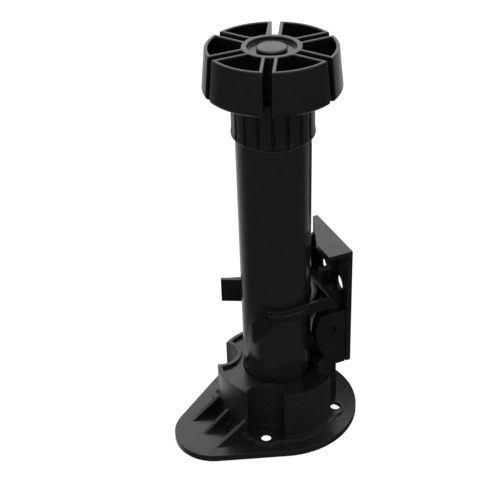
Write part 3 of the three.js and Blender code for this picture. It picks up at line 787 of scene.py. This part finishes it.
def tongue_slot(play, low, high):
    """The bracket's T-shaped tongue, or with play the slot that it slides in."""
    neck = slab(
        (head_x + SINK, -TONGUE_NECK - play, low), (plate_x + SINK, TONGUE_NECK + play, high),
    )
    return add(neck, slab(
        (head_x - play, -TONGUE_HEAD - play, low), (neck_x + play, TONGUE_HEAD + play, high),
    ))


cheek_in = CHEEK_Y - CHEEK_THICK
clip = band_ring(band_r, -band_half, band_half)
clip.name = "clip"
add(clip, band_ring(band_r + RIDGE_RISE, -RIDGE_HEIGHT / 2, RIDGE_HEIGHT / 2))
add(clip, slab((0, -CHEEK_Y, -band_half), (back_x + SINK, CHEEK_Y, band_half)))
add(clip, slab((back_x, -cheek_in - SINK, CHEEK_BOTTOM), (block_x, cheek_in + SINK, band_half)))
add(clip, cheek(-CHEEK_Y, -cheek_in), cheek(cheek_in, CHEEK_Y), ear(1), ear(-1))
pockets = slab(
    (0, -CHEEK_Y + POCKET_WALL, -band_half + POCKET_WALL),
    (back_x - POCKET_WALL, CHEEK_Y - POCKET_WALL, band_half + PAST),
)
cut(clip, cut(pockets, cylinder(band_r, -band_half, band_half + 2 * PAST, steps=144)))
for side in (1, -1):
    dimple = cylinder(DIMPLE_R, -DIMPLE_DEPTH, DIMPLE_DEPTH, steps=40)
    dimple.rotation_euler = (math.pi / 2, 0, 0)
    dimple.location = ((block_x + DIMPLE_X) * MM, side * CHEEK_Y * MM, DIMPLE_Z * MM)
    cut(clip, placed(dimple, "dimple"))
cut(clip, cylinder(band_bore_r, CHEEK_BOTTOM - PAST, band_half + PAST, steps=144))
cut(clip, tongue_slot(GAP, CHEEK_BOTTOM - PAST, band_half + PAST))
on_clip(clip)
eased(clip, radius=0.25)
sprung = plastic(
    "glossy_clip", (0.0048, 0.0048, 0.0049), roughness=0.25, flow=0.08, grain_size=0.35, grain=0.08,
)
finished(clip, "clip", "plinth_clip", sprung)

# ---- Plinth bracket ----
# A plate that is screwed to the back of the plinth board by two countersunk holes. A T-shaped tongue down
# its middle slides in the clip's slot until a lug stops it, a slanted top flange and a gusset stiffen it,
# and a low side wall with a sloped top guards the far edge.
BRACKET_TOP = 20.05
BRACKET_BOTTOM = -28.05
BRACKET_FLANGE_THICK = 1.6
FLANGE_CLEARANCE = 1.55
GUSSET_Y = -4.7
GUSSET_THICK = 1.4
GUSSET_DROP = 12
SIDE_WALL = 1.6
SIDE_DEPTH = 4.6
SIDE_BOTTOM = -4.4
SIDE_TOP = 13.5
SIDE_SLOPE = 0.72
LUG_HEIGHT = 3
LUG_HALF_WIDTH = 2
BRACKET_HOLE_Y = 6.3
BRACKET_HOLE_Z = 2.5
BRACKET_HOLE_R = 2.6
BRACKET_SINK_R = 4.25
BRACKET_SINK_DEPTH = 1.4
STEP_IN = 0.3  # keeps the faces of pieces that are joined from lying in one plane

flange_low = BRACKET_TOP - BRACKET_FLANGE_THICK
flange_x = tube_radius(band_mid + BRACKET_TOP) + FLANGE_CLEARANCE
sunk_x = plate_x + SINK
lug_low = band_half + GAP
lug_high = lug_low + LUG_HEIGHT
bracket = slab((plate_x, -CHEEK_Y, BRACKET_BOTTOM), (BRACKET_X, CHEEK_Y, BRACKET_TOP))
bracket.name = "bracket"
add(bracket, prism([
    (BRACKET_X, -CHEEK_Y), (BRACKET_X, CHEEK_Y), (plate_x, CHEEK_Y), (flange_x, GUSSET_Y),
    (flange_x, -CHEEK_Y),
], flange_low, BRACKET_TOP))
add(bracket, upright([
    (sunk_x, flange_low + SINK), (flange_x + STEP_IN, flange_low + SINK),
    (flange_x + STEP_IN, flange_low - STEP_IN),
    (plate_x, flange_low - GUSSET_DROP), (sunk_x, flange_low - GUSSET_DROP),
], GUSSET_Y - STEP_IN, GUSSET_Y + GUSSET_THICK))
add(bracket, upright([
    (sunk_x, SIDE_BOTTOM), (sunk_x, SIDE_TOP), (plate_x, SIDE_TOP),
    (plate_x - SIDE_DEPTH, SIDE_TOP - SIDE_SLOPE * SIDE_DEPTH), (plate_x - SIDE_DEPTH, SIDE_BOTTOM),
], CHEEK_Y - SIDE_WALL, CHEEK_Y - STEP_IN))
add(bracket, tongue_slot(0, BRACKET_BOTTOM + STEP_IN, band_half))
add(bracket, upright([
    (neck_x + STEP_IN, 0), (sunk_x - STEP_IN, 0), (sunk_x - STEP_IN, lug_high), (head_x, lug_high),
    (head_x, lug_low), (neck_x + STEP_IN, lug_low),
], STEP_IN - LUG_HALF_WIDTH, LUG_HALF_WIDTH - STEP_IN))
for side in (1, -1):
    hole = turned("hole", [
        (BRACKET_HOLE_R, -PAST),
        (BRACKET_HOLE_R, BRACKET_THICK - BRACKET_SINK_DEPTH),
        (BRACKET_SINK_R, BRACKET_THICK),
        (BRACKET_SINK_R, BRACKET_THICK + PAST),
    ], steps=48)
    hole.rotation_euler = (0, -math.pi / 2, 0)
    hole.location = (BRACKET_X * MM, side * BRACKET_HOLE_Y * MM, BRACKET_HOLE_Z * MM)
    cut(bracket, placed(hole, "hole"))
on_clip(bracket)
eased(bracket, radius=0.12)
coarse = plastic(
    "textured_bracket", (0.0056, 0.0056, 0.0057), roughness=0.33, flow=0.06, grain_size=0.22, grain=0.25,
)
finished(bracket, "bracket", "plinth_bracket", coarse)

# ---- Stage ----
# The leg stands on a pale, lit table, which shows through its screw holes. The table is clear from below, so
# that the cored underside can be seen.
TABLE_SIZE = 6
TABLE_DROP = 0.05
TABLE_SHADE = 0.2
TABLE_GLOW = 0.9
ROOM_LIGHT = 0.75


def dulled(name, shade):
    """A grey, matte material without gloss, which can be made to glow."""
    material = bpy.data.materials.new(name)
    material.use_nodes = True
    shader = material.node_tree.nodes["Principled BSDF"]
    shader.inputs["Base Color"].default_value = (shade, shade, shade, 1)
    shader.inputs["Roughness"].default_value = 1
    shader.inputs["Specular IOR Level"].default_value = 0
    shader.inputs["Emission Color"].default_value = (1, 1, 1, 1)
    return material


def sheet(name, size, place, turn, material):
    """A flat piece of the stage, its size and place in metres."""
    bpy.ops.object.select_all(action="DESELECT")
    bpy.ops.mesh.primitive_plane_add(size=1)
    piece = bpy.context.object
    piece.scale = (*size, 1)
    piece.rotation_euler = turn
    piece.location = place
    piece.data.materials.append(material)
    return placed(piece, name)


pale = dulled("pale_table", TABLE_SHADE)
nodes, link = pale.node_tree.nodes, pale.node_tree.links.new
nodes["Principled BSDF"].inputs["Emission Strength"].default_value = TABLE_GLOW
underneath = nodes.new("ShaderNodeNewGeometry")
clear = nodes.new("ShaderNodeBsdfTransparent")
one_sided = nodes.new("ShaderNodeMixShader")
link(underneath.outputs["Backfacing"], one_sided.inputs["Fac"])
link(nodes["Principled BSDF"].outputs["BSDF"], one_sided.inputs[1])
link(clear.outputs["BSDF"], one_sided.inputs[2])
link(one_sided.outputs["Shader"], nodes["Material Output"].inputs["Surface"])
table = sheet("table", (TABLE_SIZE, TABLE_SIZE), (0, 0, -TABLE_DROP * MM), (0, 0, 0), pale)
table.visible_glossy = False

# The room is white to look at and a little dimmer as a light.
world = bpy.data.worlds.new("studio")
bpy.context.scene.world = world
world.use_nodes = True
nodes, link = world.node_tree.nodes, world.node_tree.links.new
nodes["Background"].inputs["Color"].default_value = (1, 1, 1, 1)
shown = nodes.new("ShaderNodeLightPath")
strength = nodes.new("ShaderNodeMapRange")
strength.inputs["To Min"].default_value = ROOM_LIGHT
strength.inputs["To Max"].default_value = 1
link(shown.outputs["Is Camera Ray"], strength.inputs["Value"])
link(strength.outputs["Result"], nodes["Background"].inputs["Strength"])

# The lights stand round the side that the camera looks from.
BACK_LIGHT_REACH = 0.9
BACK_LIGHT_HEIGHT = 0.7
TOP_LIGHT_HEIGHT = 1.1
azimuth = math.radians(-31.83)
elevation = math.radians(32.14)
front = Vector((math.sin(azimuth), -math.cos(azimuth), 0))
right = Vector((math.cos(azimuth), math.sin(azimuth), 0))
middle = Vector((0, 0, (ground / 2) * MM))


def softbox(name, place, width, height, radiance):
    """A rectangular soft light that faces the middle of the leg; its radiance is what a mirror would see."""
    light = bpy.data.lights.new(name, "AREA")
    light.shape = "RECTANGLE"
    light.size = width
    light.size_y = height
    light.energy = radiance * math.pi * width * height
    lamp = bpy.data.objects.new(name, light)
    lamp.location = place
    lamp.rotation_euler = (place - middle).to_track_quat("Z", "Y").to_euler()
    bpy.context.scene.collection.objects.link(lamp)


back_light = Vector((0, 0, BACK_LIGHT_HEIGHT)) - front * BACK_LIGHT_REACH
softbox("back_softbox", back_light, width=1.2, height=0.6, radiance=1.1)
softbox("top_softbox", Vector((0, 0, TOP_LIGHT_HEIGHT)), width=1, height=1, radiance=0.5)

# What the gloss reflects of the table is painted: a sheet just under it glows only for reflections. It glows
# dimly in front and at the sides, as painted dark reflections, and brightly only in a wedge behind the leg,
# as painted bright ones. Its edge is soft, so it fades with the angle round the leg, and a small bright spot
# close by on the left paints one more highlight.
REFLECTION_SHEET_DROP = 0.5
DARK_REFLECTION_GLOW = 0.04
BRIGHT_REFLECTION_GLOW = 0.75
REFLECTION_FADE = (math.radians(18), math.radians(92))
HIGHLIGHT_SPOT_PLACE = 0.045
HIGHLIGHT_SPOT_EDGE = (0.014, 0.034)
# Painted reflection: this sheet's glow is dim in front and bright behind the leg, and only glossy rays see
# it.
reflection_glow = dulled("painted_reflection_glow", 0)
nodes, link = reflection_glow.node_tree.nodes, reflection_glow.node_tree.links.new


def faded(value, edge, near_tone, far_tone):
    """Goes softly from one tone to the other as a value passes an edge."""
    fade = nodes.new("ShaderNodeMapRange")
    fade.interpolation_type = "SMOOTHSTEP"
    fade.inputs["From Min"].default_value, fade.inputs["From Max"].default_value = edge
    fade.inputs["To Min"].default_value = near_tone
    fade.inputs["To Max"].default_value = far_tone
    link(value, fade.inputs["Value"])
    return fade.outputs["Result"]


place = nodes.new("ShaderNodeTexCoord")
turn = nodes.new("ShaderNodeMapping")
turn.inputs["Rotation"].default_value = (0, 0, -azimuth)
parts = nodes.new("ShaderNodeSeparateXYZ")
bearing = nodes.new("ShaderNodeMath")
bearing.operation = "ARCTAN2"
spread = nodes.new("ShaderNodeMath")
spread.operation = "ABSOLUTE"
reach = nodes.new("ShaderNodeVectorMath")
reach.operation = "DISTANCE"
reach.inputs[1].default_value = (-HIGHLIGHT_SPOT_PLACE, 0, 0)
brighter = nodes.new("ShaderNodeMath")
brighter.operation = "MAXIMUM"
link(place.outputs["Object"], turn.inputs["Vector"])
link(turn.outputs["Vector"], parts.inputs["Vector"])
link(parts.outputs["X"], bearing.inputs[0])
link(parts.outputs["Y"], bearing.inputs[1])
link(bearing.outputs[0], spread.inputs[0])
link(turn.outputs["Vector"], reach.inputs[0])
link(faded(spread.outputs[0], REFLECTION_FADE, BRIGHT_REFLECTION_GLOW, DARK_REFLECTION_GLOW), brighter.inputs[0])
link(faded(reach.outputs["Value"], HIGHLIGHT_SPOT_EDGE, BRIGHT_REFLECTION_GLOW, 0), brighter.inputs[1])
link(brighter.outputs[0], nodes["Principled BSDF"].inputs["Emission Strength"])
reflection_sheet = sheet("painted_reflection_sheet", (TABLE_SIZE, TABLE_SIZE), (0, 0, -REFLECTION_SHEET_DROP * MM), (0, 0, 0), reflection_glow)

# A black strip, which only reflections see, hangs behind on the right and paints shade into the flange's
# gloss there.
STRIP_SIZE = (0.1, 0.05)
STRIP_BACK = 0.075
STRIP_RIGHT = 0.043
STRIP_HEIGHT = 0.05
STRIP_SHADE = 0.01
black = dulled("painted_shade_strip", STRIP_SHADE)
black.node_tree.nodes["Principled BSDF"].inputs["Specular IOR Level"].default_value = 0.5
strip = sheet(
    "hanging_strip", STRIP_SIZE, right * STRIP_RIGHT - front * STRIP_BACK + Vector((0, 0, STRIP_HEIGHT)),
    (math.pi / 2, 0, azimuth), black,
)
# Neither sheet shows to the camera, in diffuse light or in shadows: they only paint reflections and reflected
# shade.
for piece in (reflection_sheet, strip):
    piece.visible_camera = False
    piece.visible_diffuse = False
    piece.visible_shadow = False

CAMERA_PLACE = Vector((-189.58, -288.28, 289.33))
CAMERA_ROLL = math.radians(-1.79)
CAMERA_LENS = 81.94
SENSOR_WIDTH = 36
camera_data = bpy.data.cameras.new("camera")
camera = bpy.data.objects.new("camera", camera_data)
bpy.context.scene.collection.objects.link(camera)
camera_data.lens = CAMERA_LENS
camera_data.sensor_width = SENSOR_WIDTH
towards = front * math.cos(elevation) + Vector((0, 0, math.sin(elevation)))
up = towards.cross(right)
rolled_right = right * math.cos(CAMERA_ROLL) + up * math.sin(CAMERA_ROLL)
rolled_up = up * math.cos(CAMERA_ROLL) - right * math.sin(CAMERA_ROLL)
camera.matrix_world = Matrix.Translation(CAMERA_PLACE * MM) @ Matrix((
    rolled_right, rolled_up, towards,
)).transposed().to_4x4()
bpy.context.scene.camera = camera
bpy.context.scene.view_settings.view_transform = "Standard"
